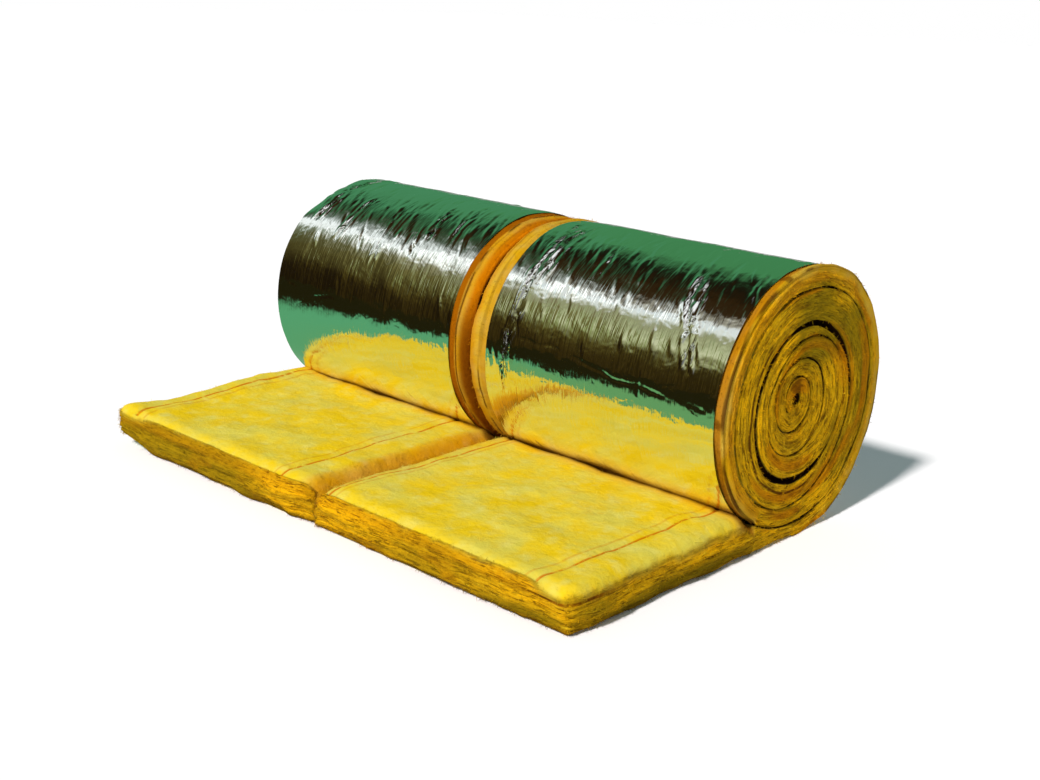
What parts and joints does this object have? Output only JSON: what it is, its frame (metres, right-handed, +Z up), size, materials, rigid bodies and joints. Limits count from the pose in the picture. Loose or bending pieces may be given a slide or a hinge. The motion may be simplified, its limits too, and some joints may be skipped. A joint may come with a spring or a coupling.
{
  "type": "insulation roll",
  "caption": "Roll of foil-faced glass wool building insulation, slit into side-by-side strips, with its loose end unrolled flat on the floor.",
  "frame": {"origin": "on the floor, at the middle of the footprint of the roll and its loose end", "axes": "+X across the two strips along the roll's axis, -Y the way the loose end runs out, +Z up"},
  "size_m": [1.2006, 0.8847, 0.5055],
  "materials": {
    "glass_wool": "soft matt fibrous yellow glass wool",
    "foil": "bright wrinkled aluminium foil laminate"
  },
  "bodies": {
    "root": {"left_wool_mat": "glass_wool", "right_wool_mat": "glass_wool", "left_foil_facing": "foil", "right_foil_facing": "foil"}
  },
  "joints": []
}
